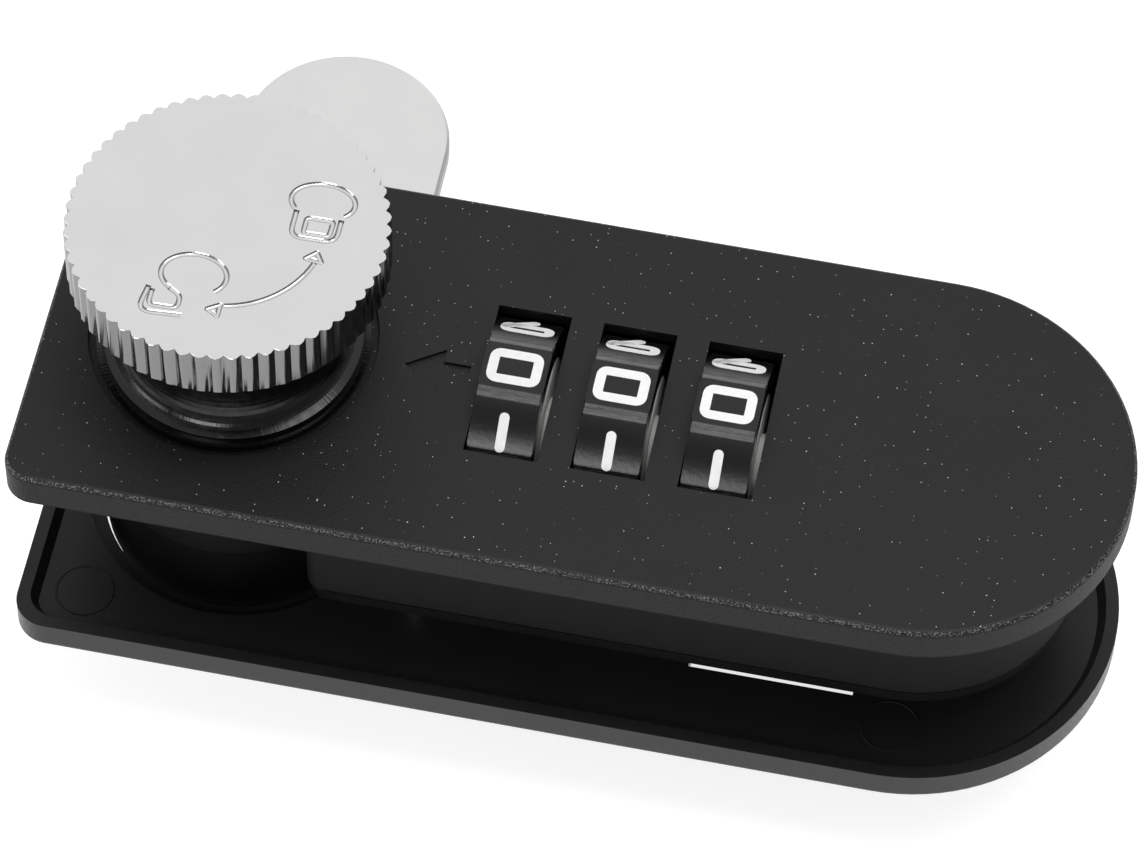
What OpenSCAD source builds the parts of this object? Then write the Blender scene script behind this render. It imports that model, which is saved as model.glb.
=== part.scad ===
// Three-dial combination lock for a locker door. Units are millimetres.
// The origin is on the knob's axis, at the front face of the door. +Z points out of the door, towards
// the person who turns the knob, and +X runs from the knob to the dials. Rest is locked, at code 0-0-0.

/* [Faceplate] */
// Distance from the code slider's yoke to the round end of the faceplate
end_room = 22.95; // [22:0.05:30]
// Width of the faceplate
plate_w = 35.5; // [34.5:0.5:40]
// Thickness of the faceplate
plate_t = 3.4; // [2.6:0.1:4]
// Radius of the two corners at the knob end
plate_corner_r = 2.5; // [1.5:0.5:5]
// Rounding of the faceplate's front edge
plate_edge_r = 0.5; // [0.3:0.1:1]
// Distance from the knob end of the faceplate to the knob's axis
knob_inset = 15.8; // [14.5:0.1:18]

/* [Door] */
// Thickness of the door that the faceplate and the tray clamp
door_t = 18.6; // [16:0.1:22]

/* [Housing] */
// Wall of the housing behind the faceplate
wall = 1.5; // [1.2:0.1:2]
// Wall of the barrel round the spindle
barrel_wall = 1.6; // [1.4:0.1:2]
// Distance from the round end of the faceplate to the round end of the housing
end_overlap = 3.5; // [2.5:0.5:5]
// Radius of the upright corners of the housing beside the barrel
body_corner_r = 1.5; // [1:0.5:2]
// Thickness of the rear cover
cover_t = 1.2; // [1:0.1:1.6]

/* [Tray] */
// How far the tray stands out beyond the faceplate, all round
tray_margin = 0.4; // [0:0.1:1]
// Overall height of the tray behind the door
tray_h = 3.1; // [2.8:0.1:4]
// Width of the flat top of the tray's rim
rim_w = 1.1; // [0.8:0.1:1.6]
// Depth of the tray inside its rim
tray_depth = 1; // [0.6:0.1:1.4]
// Length of the opening through which the code slider is reached
reach_len = 14.2; // [12:0.1:16]
// Width of that opening
reach_w = 14; // [12:0.5:15]

/* [Dials] */
// Distance from the centre of a dial to one of its ten flats
dial_r = 8.4; // [8.2:0.1:8.8]
// Width of a dial along its axle
dial_w = 5.5; // [5.3:0.1:5.7]
// Distance between neighbouring dials
dial_pitch = 9; // [9:0.1:9.6]
// Depth of the dial axle below the front of the faceplate
dial_drop = 6.24; // [6:0.02:6.6]
// Distance from the barrel to the middle of the first window
window_room = 12.45; // [12.2:0.05:14]
// Width of the window round each dial
window_w = 6.25; // [6.1:0.05:6.4]
// Length of the window round each dial
window_len = 14.9; // [14.5:0.1:16]
// Width of the narrow flats between the numbered flats
dial_land = 0.86; // [0.6:0.02:1.2]
// Diameter of the dial axle
axle_d = 3; // [2.6:0.1:3.2]

/* [Knob] */
// Diameter of the knob over its teeth
knob_d = 26.8; // [26:0.1:29]
// Height of the knurled side of the knob
knob_h = 5.4; // [4.8:0.1:6.5]
// Height of the knob's top face over the faceplate
knob_rise = 15.6; // [15:0.1:18]
// Teeth round the knob
knob_teeth = 60; // [48:4:72]
// Depth of a knob tooth
tooth_depth = 0.42; // [0.3:0.02:0.6]
// Wall of the metal cap
cap_wall = 1.2; // [1:0.1:1.5]
// Diameter of the black foot of the knob
foot_d = 22; // [21.4:0.1:22.4]
// Diameter of the round seat in the faceplate
seat_d = 24.4; // [24:0.1:25]
// Depth of that seat
seat_depth = 0.6; // [0.5:0.1:0.8]
// Diameter of the knob's neck
neck_d = 17; // [16:0.2:18]

/* [Cam] */
// Length of the cam from the spindle's axis to its tip
cam_len = 50.2; // [40:0.1:60]
// Width of the cam
cam_w = 19; // [16:0.5:20]
// Thickness of the cam
cam_t = 2.2; // [1.8:0.1:3]
// Gap between the tray and the cam
cam_gap = 0.9; // [0.5:0.1:2]
// Turn of the knob from locked to open
knob_turn = 90; // [90]

/* [Lockwork] */
// Radius of the spindle below its drive disc
spindle_r = 3.6; // [3.6:0.1:3.9]
// Side of the square on which the cam sits
cam_square = 5; // [4.6:0.1:5]
// Thickness of the spindle's drive disc
disc_t = 2.3; // [2:0.1:2.4]
// Diameter of the drive pin
pin_d = 2; // [1.6:0.1:2]
// Thickness of a blade of the locking slide
blade_t = 0.8; // [0.7:0.05:0.85]
// Thickness of a code wheel's gate disc
gate_t = 0.65; // [0.6:0.05:0.7]
// Radius of a code wheel's flange, which shows beside the dial
flange_r = 6.2; // [6:0.1:6.4]
// Radius of a code wheel's gate disc
gate_r = 5; // [4.8:0.05:5.1]
// Depth of the gate from the rim of the gate disc
gate_depth = 1.8; // [1.6:0.1:1.9]
// Travel of the code wheels when the code is changed
shift = 1.3; // [1.25:0.05:1.35]

/* [Clearances] */
// Running clearance between a shaft and its bearing
run_gap = 0.08; // [0.05:0.01:0.1]
// Gap between parts that slide past each other
slide_gap = 0.2; // [0.15:0.01:0.22]
// Gap between a dial and its window on the knob side
side_gap = 0.12; // [0.1:0.01:0.14]

/* [Hidden] */
$fn = 96;
eps = 0.01;
DIALS = [0, 1, 2];
BLACK = "#1c1c1e";
GLOSS = "#0c0c0d";
CHROME = "#d6d8da";
STEEL = "#a9acaf";
BRASS = "#b9a06a";
ACETAL = "#f0f0ec";

// Travel of the locking slide, its drive pin when locked, the disc round the pin and the barrel round both
gate_x = 1.35;
slide_travel = gate_x + gate_t;
pin_r = pin_d / 2;
pin_x = spindle_r + slide_travel + pin_r + 0.8;
disc_r = pin_x + pin_r + 1;
bore_r = disc_r + 0.8;
barrel_r = bore_r + barrel_wall;

// Dials, along X from the first window
first_window = barrel_r + window_room;
flats = 10;
facet = 360 / flats;
land_r = dial_r / cos(facet / 2) - dial_land / 2 * tan(facet / 2);
dial_tip_r = sqrt(land_r * land_r + dial_land * dial_land / 4);
dial_z = plate_t - dial_drop;
axle_r = axle_d / 2;
function window_x(i) = first_window + i * dial_pitch;
function dial_x0(i) = window_x(i) - window_w / 2 + side_gap;
function dial_x1(i) = dial_x0(i) + dial_w;
last = DIALS[len(DIALS) - 1];

// Locking slide
bar_t = 2;
bar_h = 4;
bar_y0 = dial_tip_r + 0.7;
bar_y1 = bar_y0 + bar_t;
blade_x = gate_x + gate_t + slide_gap;
blade_w = 1.4;
blade_y0 = gate_r - gate_depth + 0.3;
arm_w = 3.2;
rib_t = 1.2;
rib_floor = 0.7;
arm_t = 1.5;
arm_z1 = dial_z - axle_r - run_gap - rib_floor - slide_gap - 0.1;
arm_z0 = arm_z1 - arm_t;
arm_x1 = dial_x0(0) - 0.85;
arm_x0 = arm_x1 - 3.4;
bar_x0 = arm_x0 + 0.4;

// Code change, right of the last dial
hub_r = 3.6;
wheel_neck_r = 2.8;
wheel_nose_r = 3;
clip_t = 0.4;
clip_r = 2.3;
rib_a = dial_x0(0) - 3.3;
rib_b = dial_x1(last) + blade_x + blade_t + 0.2;
spring_len = 4.105;
yoke_x = rib_b + rib_t + spring_len;
yoke_t = 1.6;
slider_x = yoke_x - 2;
tab_len = 3;
tab_w = 4;

// Faceplate
plate_x0 = -knob_inset;
plate_x1 = yoke_x + end_room;
plate_hw = plate_w / 2;
plate_xc = plate_x1 - plate_hw;

// Housing behind the faceplate
body_hw = bar_y1 + 1.1 + wall;
body_in = body_hw - wall;
body_z = dial_z - dial_tip_r - 0.65;
body_x0 = barrel_r - 3;
body_xc = plate_x1 - end_overlap - body_hw;

// Spindle, from the slide's arm upwards
disc_z0 = arm_z1 + slide_gap;
disc_z1 = disc_z0 + disc_t;
web_z0 = disc_z1 + 0.1;
web_z1 = web_z0 + 2.4;
journal_r = 4.12;
drive_square = 5.7;
drive_z1 = plate_t + 6.9;

// Tray and cam, from the back of the door
tray_z1 = -door_t;
tray_x0 = plate_x0 - tray_margin;
tray_hw = plate_hw + tray_margin;
tray_corner_r = plate_corner_r + tray_margin;
tray_floor = tray_z1 - tray_depth;
tray_z0 = tray_z1 - tray_h;
ring_r = barrel_r + 1.5;
ring_z = tray_floor - 0.8;
barrel_z = ring_z - 0.7;
reach_x0 = dial_x1(last) - 3.45;
reach_y0 = -(body_in - 2.3);
cam_z1 = tray_z0 - cam_gap;
cam_z0 = cam_z1 - cam_t;
washer_t = 0.8;
cover_inset = 0.3;
cover_z = body_z - cover_t;

// Knob
knob_z1 = plate_t + knob_rise;
knob_z0 = knob_z1 - knob_h;
knob_r = knob_d / 2;
foot_r = foot_d / 2;
neck_r = neck_d / 2;
seat_z = plate_t - seat_depth;
base_z = web_z1 + 0.1;
knob_screw_z = drive_z1 + 2;
knob_screw_len = 9;
dial_edge = 0.12;

// Screws: [x, y] of each
small_r = 0.9;
cover_post_r = 1.9;
post_gap = 1.1;
post_x = bar_x0 - slide_travel - post_gap - cover_post_r;
COVER_SCREWS = [[post_x, -(body_in - 2.1)], [post_x, body_in - 2.1],
    [body_xc + 4.9, -(body_in - 3.7)], [body_xc + 4.9, body_in - 3.7]];
tray_screw_r = 1.5;
tray_post_r = 2.3;
tray_screw_grip = 7;
cover_screw_grip = 5;
TRAY_SCREWS = [[rib_a - tray_post_r + 1.7, -(body_in - 4.5)], [body_xc + body_hw - 6.1, 0]];

// Edge profiles: lists of [inset from the outline, height], from the bottom up
function square_edge(z0, z1, inset = 0) = [[inset, z0], [inset, z1]];
function round_top(z0, z1, r, n = 4) =
    concat([[0, z0]], [for (i = [0:n]) let (a = 90 * i / n) [r * (1 - cos(a)), z1 - r + r * sin(a)]]);
function round_bottom(z0, z1, r, n = 4) =
    concat([for (i = [0:n]) let (a = 90 * i / n) [r * (1 - sin(a)), z0 + r - r * cos(a)]], [[0, z1]]);
function round_both(z0, z1, r, n = 4) =
    concat([for (i = [0:n]) let (a = 90 * i / n) [r * (1 - sin(a)), z0 + r - r * cos(a)]],
        [for (i = [0:n]) let (a = 90 * i / n) [r * (1 - cos(a)), z1 - r + r * sin(a)]]);

// A slab with a round end of radius hw about x = xc and corners of radius rc at x = x0
module slab(x0, xc, hw, rc, edge) {
    z0 = edge[0][1];
    z1 = edge[len(edge) - 1][1];
    mid = hw - rc;
    translate([xc, 0, 0]) rotate([0, 0, -90]) rotate_extrude(angle = 180)
        polygon(concat([[0, z0]], [for (p = edge) [hw - p[0], p[1]]], [[0, z1]]));
    translate([x0 + rc, 0, 0]) rotate([90, 0, 90]) linear_extrude(xc - x0 - rc)
        polygon(concat([for (p = edge) [hw - p[0], p[1]]],
            [for (i = [len(edge) - 1:-1:0]) [edge[i][0] - hw, edge[i][1]]]));
    translate([0, mid, 0]) rotate([90, 0, 0]) linear_extrude(2 * mid)
        polygon(concat([[x0 + rc, z1], for (i = [len(edge) - 1:-1:0]) [x0 + edge[i][0], edge[i][1]]],
            [[x0 + rc, z0]]));
    for (side = [0, 1])
        translate([x0 + rc, side == 0 ? mid : -mid, 0]) rotate([0, 0, 90 + side * 90])
            rotate_extrude(angle = 90)
                polygon(concat([[0, z0]], [for (p = edge) [rc - p[0], p[1]]], [[0, z1]]));
}

// A shaft along X
module rod(x0, x1, r, z = dial_z) {
    translate([x0, 0, z]) rotate([0, 90, 0]) cylinder(r = r, h = x1 - x0);
}

module block(x, y, z) {
    translate([x[0], y[0], z[0]]) cube([x[1] - x[0], y[1] - y[0], z[1] - z[0]]);
}

module upright(at, z0, z1, r) {
    translate([at[0], at[1], z0]) cylinder(r = r, h = z1 - z0, $fn = 48);
}

// Housing: faceplate, walls, barrel and the ribs that hold the lockwork, moulded in one piece
module housing_shell() {
    slab(plate_x0, plate_xc, plate_hw, plate_corner_r, round_top(0, plate_t, plate_edge_r));
    difference() {
        union() {
            slab(body_x0, body_xc, body_hw, body_corner_r, round_bottom(body_z, plate_t / 2, 0.8));
            translate([0, 0, body_z]) cylinder(r = barrel_r, h = plate_t / 2 - body_z);
        }
        difference() {
            union() {
                slab(body_x0 + wall, body_xc, body_in, 0.5, square_edge(body_z - 1, 0));
                translate([0, 0, body_z - 1]) cylinder(r = bore_r, h = web_z0 - body_z + 1);
            }
            translate([0, 0, web_z0]) cylinder(r = barrel_r, h = 1 - web_z0);
        }
    }
}

// Ribs between the dials: they keep each dial in its window and stand clear of the code wheels
module dividers() {
    y = [-body_in - wall / 2, -gate_r - 0.8];
    z = [body_z + 3.2, plate_t / 2];
    for (i = [0:last - 1]) block([dial_x1(i) + side_gap, dial_x0(i + 1) - side_gap], y, z);
    block([dial_x0(0) - side_gap - rib_t, dial_x0(0) - side_gap], y, z);
    block([dial_x1(last) + side_gap, dial_x1(last) + side_gap + rib_t], y, z);
}

module axle_ribs() {
    z = [dial_z - axle_r - run_gap - rib_floor, plate_t / 2];
    block([rib_a, rib_a + rib_t], [-5.4, bar_y0 - 1], z);
    block([rib_b, rib_b + rib_t], [-5.4, bar_y0 - 1], z);
}

// Guides over and behind the bar of the locking slide
module bar_guides() {
    for (i = DIALS) {
        x = [window_x(i) - 1.5, window_x(i) + 1.5];
        block(x, [bar_y1 + 0.15, body_in + wall / 2], [dial_z - bar_h / 2, plate_t / 2]);
        block(x, [bar_y0 + 0.3, body_in + wall / 2], [dial_z + bar_h / 2 + 0.15, plate_t / 2]);
    }
}

// Index arrow sunk in the faceplate: it points at the knob
module index_arrow() {
    tip = foot_r + 3.6;
    translate([0, 0, plate_t - 0.3]) linear_extrude(1)
        polygon([[tip, 0], [tip + 3.2, 2.1], [tip + 3.2, 0.85], [tip + 5.5, 0.85],
            [tip + 5.5, -0.85], [tip + 3.2, -0.85], [tip + 3.2, -2.1]]);
}

module front_housing() {
    color(BLACK) difference() {
        union() {
            housing_shell();
            dividers();
            axle_ribs();
            bar_guides();
            for (s = COVER_SCREWS) upright(s, body_z, plate_t / 2, cover_post_r);
            for (s = TRAY_SCREWS) upright(s, body_z, plate_t / 2, tray_post_r);
        }
        translate([0, 0, seat_z]) cylinder(r = seat_d / 2, h = seat_depth + 1);
        translate([0, 0, web_z1]) cylinder(r = bore_r, h = plate_t - web_z1);
        translate([0, 0, web_z0 - 1]) cylinder(r = journal_r + run_gap, h = web_z1 - web_z0 + 2);
        for (i = DIALS) {
            translate([window_x(i) - window_w / 2, -window_len / 2, plate_t / 2])
                cube([window_w, window_len, plate_t]);
            translate([window_x(i) - window_w / 2, -window_len / 2, -eps])
                cube([window_w, window_len, plate_t]);
            rod(dial_x0(i) - side_gap, dial_x1(i) + side_gap, dial_tip_r + 0.35);
            rod(dial_x1(i), dial_x1(i) + gate_x + gate_t + slide_gap, gate_r + 0.3);
            rod(dial_x0(i) - shift, dial_x0(i), wheel_nose_r + 0.3);
        }
        index_arrow();
        // way through for the slide's arm and pin
        block([bore_r - 1, body_x0 + wall + 1], [-arm_w / 2 - 0.4, arm_w / 2 + 0.4], [body_z - 1, disc_z1]);
        rod(rib_a - 1, rib_a + rib_t + 1, axle_r + run_gap);
        rod(rib_b - 1, rib_b + rib_t + 1, axle_r + run_gap);
        for (s = COVER_SCREWS) upright(s, body_z - 1, body_z + cover_screw_grip + 1, small_r);
        for (s = TRAY_SCREWS) upright(s, body_z - 1, body_z + tray_screw_grip + 1, tray_screw_r);
    }
}

// Rear cover: closes the lockwork and carries the lower half of the barrel
module rear_cover() {
    tab_x = [slider_x - shift - 0.3, slider_x + tab_len + 0.3];
    color(BLACK) difference() {
        union() {
            slab(body_x0 + cover_inset, body_xc, body_hw - cover_inset, body_corner_r,
                square_edge(cover_z, body_z));
            translate([0, 0, barrel_z]) cylinder(r = barrel_r, h = body_z - barrel_z);
            // rest under the slide's arm
            block([arm_x0 - 1.4, arm_x0 + 1.6], [3, 5], [cover_z, arm_z0 - slide_gap]);
            // rests under the slide's bar
            for (i = [0, last]) block([window_x(i) - 1, window_x(i) + 1], [bar_y0 + 0.2, bar_y1 - 0.2],
                [cover_z, dial_z - bar_h / 2 - slide_gap]);
            // lugs that hold the foot of the detent spring against the housing's wall
            for (i = [0:last - 1]) block([dial_x1(i) + 0.6, dial_x0(i + 1) - 0.6],
                [-body_in + 0.75, -body_in + 1.75], [cover_z, body_z + 1.8]);
        }
        translate([0, 0, barrel_z + 2]) cylinder(r = bore_r, h = body_z - barrel_z);
        translate([0, 0, barrel_z - 1]) cylinder(r = spindle_r + run_gap, h = 4);
        block(tab_x, [-tab_w / 2 - 0.3, tab_w / 2 + 0.3], [cover_z - 1, body_z + 1]);
        for (s = COVER_SCREWS) upright(s, cover_z - 1, body_z + 1, small_r + 0.15);
        for (s = TRAY_SCREWS) upright(s, cover_z - 1, body_z + 1, tray_screw_r + 0.2);
    }
}

// Tray: clamps the door from behind, with a raised rim and a ring round the barrel
module rear_tray() {
    slope = 0.65;
    color(BLACK) difference() {
        slab(tray_x0, plate_xc, tray_hw, tray_corner_r, round_bottom(tray_z0, tray_z1, 0.5));
        slab(tray_x0 + rim_w, plate_xc, tray_hw - rim_w, tray_corner_r - rim_w / 2,
            [[slope, tray_floor], [0, tray_z1], [0, tray_z1 + 1]]);
        translate([0, 0, ring_z]) cylinder(r = ring_r, h = 3);
        translate([0, 0, tray_z0 - 1]) cylinder(r = barrel_r + slide_gap, h = tray_h + 2);
        block([reach_x0, reach_x0 + reach_len], [reach_y0, reach_y0 + reach_w], [tray_z0 - 1, tray_z1]);
        for (s = TRAY_SCREWS) {
            upright(s, tray_z0 - 1, tray_z1, tray_screw_r + 0.2);
            translate([s[0], s[1], tray_z0 - eps])
                cylinder(r1 = 3.1, r2 = tray_screw_r + 0.2, h = 1.4, $fn = 48);
        }
    }
}

// Outline of the knob over its rounded teeth
function tooth_r(k) = knob_r - tooth_depth * [1, 0.3, 0, 0.3][k % 4];
module knurl_outline() {
    polygon([for (k = [0:4 * knob_teeth - 1]) let (a = 90 * k / knob_teeth) tooth_r(k) * [cos(a), sin(a)]]);
}

// Knob cap: plated metal, open underneath, pressed over the neck of the knob base
module knob_cap() {
    root_r = knob_r - tooth_depth;
    roof = knob_z1 - 1.4;
    color(CHROME) union() {
        difference() {
            intersection() {
                translate([0, 0, knob_z0]) linear_extrude(knob_h) knurl_outline();
                rotate_extrude() polygon([[0, knob_z0], [root_r - 0.15, knob_z0],
                    [knob_r + 0.05, knob_z0 + 0.8], [knob_r + 0.05, knob_z1 + 1], [0, knob_z1 + 1]]);
            }
            translate([0, 0, knob_z0 - 1]) cylinder(r = root_r - cap_wall, h = roof - knob_z0 + 1);
        }
        translate([0, 0, knob_z0 + 0.8]) difference() {
            cylinder(r = neck_r + 1.2, h = roof - knob_z0);
            translate([0, 0, -1]) cylinder(r = neck_r + 0.05, h = roof - knob_z0 - 0.8 + 1);
        }
    }
}

// Knob base: foot in the seat, flared waist and neck, with a square socket for the spindle
module knob_base() {
    foot_top = plate_t + 0.5;
    flare_h = 6.1;
    flare_steps = 16;
    top = knob_z1 - 1.5;
    boss_r = 4.9;
    color(GLOSS) difference() {
        rotate_extrude() polygon(concat(
            [[0, base_z], [bore_r - run_gap, base_z], [bore_r - run_gap, seat_z + 0.1],
                [foot_r + 0.5, seat_z + 0.1], [foot_r + 0.5, plate_t - 0.15],
                [foot_r, plate_t - 0.15], [foot_r - 0.1, foot_top]],
            [for (i = [1:flare_steps]) let (a = 90 * i / flare_steps)
                [neck_r + (foot_r - 0.3 - neck_r) * (1 - sin(a)), foot_top + 0.15 + flare_h * (1 - cos(a))]],
            [[neck_r, top], [0, top]]));
        // hollow between the boss and the wall
        translate([0, 0, base_z - 1]) difference() {
            cylinder(r = neck_r - 1.4, h = drive_z1 - base_z);
            translate([0, 0, -1]) cylinder(r = boss_r, h = 40);
        }
        translate([-drive_square / 2 - 0.05, -drive_square / 2 - 0.05, base_z - 1])
            cube([drive_square + 0.1, drive_square + 0.1, drive_z1 + 0.2 - base_z + 1]);
        translate([0, 0, base_z]) cylinder(r = tray_screw_r + 0.1, h = 40);
        translate([0, 0, knob_screw_z]) cylinder(r = 3.6, h = 40);
    }
}

module knob_screw() {
    z = knob_screw_z;
    color(STEEL) union() {
        translate([0, 0, z - knob_screw_len]) cylinder(r = tray_screw_r - 0.05, h = knob_screw_len + 0.5);
        difference() {
            translate([0, 0, z]) cylinder(r = 2.9, h = 2, $fn = 48);
            translate([0, 0, z + 1]) cross_slot(3.4);
        }
    }
}

module cross_slot(len) {
    for (a = [0, 90]) rotate([0, 0, a]) translate([-len / 2, -0.35, 0]) cube([len, 0.7, 3]);
}

// Spiral groove of the drive disc: the pin's distance from the axis falls in step with the knob's turn
function spiral(a) = pin_x - slide_travel * a / knob_turn;
function spiral_at(a) = spiral(a) * [cos(a), -sin(a)];
function spiral_normal(a) = let (
        slope = -slide_travel / (knob_turn * PI / 180),
        t = slope * [cos(a), -sin(a)] + spiral(a) * [-sin(a), -cos(a)]) [t[1], -t[0]] / norm(t);
module spiral_groove() {
    w = pin_r + 0.15;
    steps = 18;
    translate([0, 0, disc_z0 - 1]) {
        linear_extrude(disc_t + 2) polygon(concat(
            [for (i = [0:steps]) let (a = knob_turn * i / steps) spiral_at(a) + w * spiral_normal(a)],
            [for (i = [steps:-1:0]) let (a = knob_turn * i / steps) spiral_at(a) - w * spiral_normal(a)]));
        for (a = [0, knob_turn]) translate(spiral_at(a)) cylinder(r = w, h = disc_t + 2, $fn = 48);
    }
}

// Spindle: square drive for the knob, disc with the spiral groove, long shaft and square for the cam
module spindle() {
    color(STEEL) difference() {
        union() {
            translate([-drive_square / 2, -drive_square / 2, web_z1])
                cube([drive_square, drive_square, drive_z1 - web_z1]);
            translate([0, 0, disc_z1 - eps]) cylinder(r = journal_r, h = base_z - disc_z1);
            translate([0, 0, disc_z0]) cylinder(r = disc_r, h = disc_t);
            translate([0, 0, cam_z1]) cylinder(r = spindle_r, h = disc_z0 - cam_z1 + eps);
            translate([-cam_square / 2, -cam_square / 2, cam_z0]) cube([cam_square, cam_square, cam_t + 1]);
        }
        spiral_groove();
        translate([0, 0, cam_z0 - 1]) cylinder(r = 2, h = 10);
        translate([0, 0, drive_z1 - 8]) cylinder(r = tray_screw_r, h = 10);
    }
}

// Cam: a stamped plate with rolled edges, round at both ends
module cam() {
    hw = cam_w / 2;
    color(CHROME) difference() {
        rotate([0, 0, 90]) slab(-hw, cam_len - hw, hw, hw - eps, round_both(cam_z0, cam_z1, 0.4));
        translate([-cam_square / 2 - 0.05, -cam_square / 2 - 0.05, cam_z0 - 1])
            cube([cam_square + 0.1, cam_square + 0.1, cam_t + 2]);
    }
}

module cam_washer() {
    color(STEEL) translate([0, 0, cam_z0 - washer_t]) difference() {
        cylinder(r = 5.2, h = washer_t);
        translate([0, 0, -1]) cylinder(r = 2.2, h = washer_t + 2);
    }
}

module cam_screw() {
    z = cam_z0 - washer_t;
    color(STEEL) difference() {
        union() {
            translate([0, 0, z - 2.4]) cylinder(r = 3.8, h = 2.4);
            translate([0, 0, z - 1]) cylinder(r = 1.95, h = 9);
        }
        translate([0, 0, z - 2.4 - 1.6]) cross_slot(4.4);
    }
}

// Splines of the code wheels and of the dials: ten bars round the axle
module splines(x0, x1, r, w) {
    for (k = [0:flats - 1]) translate([x0, 0, dial_z]) rotate([k * facet, 0, 0])
        translate([0, -w / 2, hub_r - 0.4]) cube([x1 - x0, w, r - hub_r + 0.4]);
}

// Dial: ten numbered flats with narrow lands between them, open for its code wheel
module dial(i) {
    x0 = dial_x0(i);
    x1 = dial_x1(i);
    half = atan(dial_land / 2 / land_r);
    color(BLACK) difference() {
        intersection() {
            translate([x0, 0, dial_z]) rotate([90, 0, 90]) linear_extrude(dial_w)
                polygon([for (k = [0:2 * flats - 1])
                    let (a = facet * floor(k / 2) + (k % 2 == 0 ? -half : half) + 90 - facet / 2)
                    dial_tip_r * [cos(a), sin(a)]]);
            translate([x0, 0, dial_z]) rotate([0, 90, 0]) rotate_extrude()
                polygon([[0, 0], [dial_tip_r - dial_edge, 0], [dial_tip_r + dial_edge, 2 * dial_edge],
                    [dial_tip_r + dial_edge, dial_w - 2 * dial_edge], [dial_tip_r - dial_edge, dial_w],
                    [0, dial_w]]);
        }
        rod(x0 - 1, x0 + 1.8, hub_r + 0.75);
        rod(x0, x1, hub_r + 0.1);
        splines(x0 + 1, x0 + 4, hub_r + 0.7, 1.3);
        rod(x0 + 3.2, x1 + 1, flange_r + 0.15);
    }
}

// Code wheel: splined hub, flange in the side of the dial, and gate disc with one gate
module code_wheel(i) {
    x0 = dial_x0(i);
    x1 = dial_x1(i);
    color(ACETAL) difference() {
        union() {
            rod(x0 + 0.6, x0 + 2, wheel_nose_r);
            rod(x0 + 1.9, x1 - 0.05, hub_r);
            rod(x1 - 0.3, x1 + gate_x + 0.1, wheel_neck_r);
            splines(x0 + 1.95, x0 + 3.05, hub_r + 0.6, 1.1);
            rod(x1 - 0.6, x1 - 0.05, flange_r);
            rod(x1 + gate_x, x1 + gate_x + gate_t, gate_r);
        }
        rod(x0, x1 + 4, axle_r + 0.06);
        block([x1 + gate_x - 0.2, x1 + gate_x + gate_t + 1], [gate_r - gate_depth, gate_r + 1],
            [dial_z - blade_w / 2 - 0.25, dial_z + blade_w / 2 + 0.25]);
    }
}

module dial_axle() {
    color(STEEL) rod(rib_a - 0.4, yoke_x + yoke_t + 0.4, axle_r);
}

// Spring clips on the axle, one at each end of each code wheel
module axle_clips() {
    color(STEEL) for (i = DIALS)
        for (x = [dial_x0(i) + 0.15, dial_x1(i) + gate_x + gate_t + 0.05]) difference() {
            rod(x, x + clip_t, clip_r);
            rod(x - 1, x + 1, axle_r);
        }
}

// Code slider: a yoke on the end of the axle, with a tab that reaches out through the cover
module code_slider() {
    x = slider_x;
    color(BLACK) difference() {
        union() {
            block([yoke_x, yoke_x + yoke_t], [-3, 3], [body_z + 0.3, dial_z + axle_r + 1.2]);
            block([x, yoke_x + yoke_t], [-tab_w / 2 - 0.8, tab_w / 2 + 0.8], [body_z + 0.2, body_z + 2.4]);
            block([x, x + tab_len], [-tab_w / 2, tab_w / 2], [cover_z - 0.9, body_z + 1]);
        }
        rod(yoke_x - 1, yoke_x + yoke_t + 1, axle_r + 0.03);
    }
}

// A coil of round wire along X, swept through rings of points
module coil(x0, x1, r, wire, turns) {
    sides = 6;
    rings = round(turns * 14);
    pitch = (x1 - x0 - 2 * wire) / turns;
    points = [for (k = [0:rings]) let (t = k / 14, a = 360 * t, x = x0 + wire + pitch * t)
        for (s = [0:sides - 1]) let (b = 360 * s / sides, q = r + wire * cos(b))
            [x + wire * sin(b), q * cos(a), dial_z + q * sin(a)]];
    walls = [for (k = [0:rings - 1]) for (s = [0:sides - 1]) let (n = (s + 1) % sides)
        [k * sides + s, k * sides + n, (k + 1) * sides + n, (k + 1) * sides + s]];
    ends = [[for (s = [sides - 1:-1:0]) s], [for (s = [0:sides - 1]) rings * sides + s]];
    polyhedron(points, concat(walls, ends), convexity = 8);
}

module code_spring() {
    color(STEEL) coil(rib_b + rib_t + 0.05, yoke_x - 0.05, axle_r + 0.6, 0.2, 5);
}

// Locking slide: bar behind the dials with a blade for each gate, arm and drive pin
module locking_slide() {
    bar_x1 = dial_x1(last) + blade_x + blade_t + 1.2;
    color(BRASS) union() {
        block([bar_x0, bar_x1], [bar_y0, bar_y1], [dial_z - bar_h / 2, dial_z + bar_h / 2]);
        block([arm_x0, arm_x1], [-arm_w / 2, bar_y1], [arm_z0, arm_z1]);
        block([arm_x0, arm_x1], [bar_y0, bar_y1], [arm_z0, dial_z + bar_h / 2]);
        block([pin_x - pin_r - 0.2, arm_x1], [-arm_w / 2, arm_w / 2], [arm_z0, arm_z1]);
        translate([pin_x, 0, arm_z0]) cylinder(r = pin_r, h = disc_z1 - arm_z0 - 0.3, $fn = 48);
        for (i = DIALS) block([dial_x1(i) + blade_x, dial_x1(i) + blade_x + blade_t], [blade_y0, bar_y1],
            [dial_z - blade_w / 2, dial_z + blade_w / 2]);
    }
}

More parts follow.
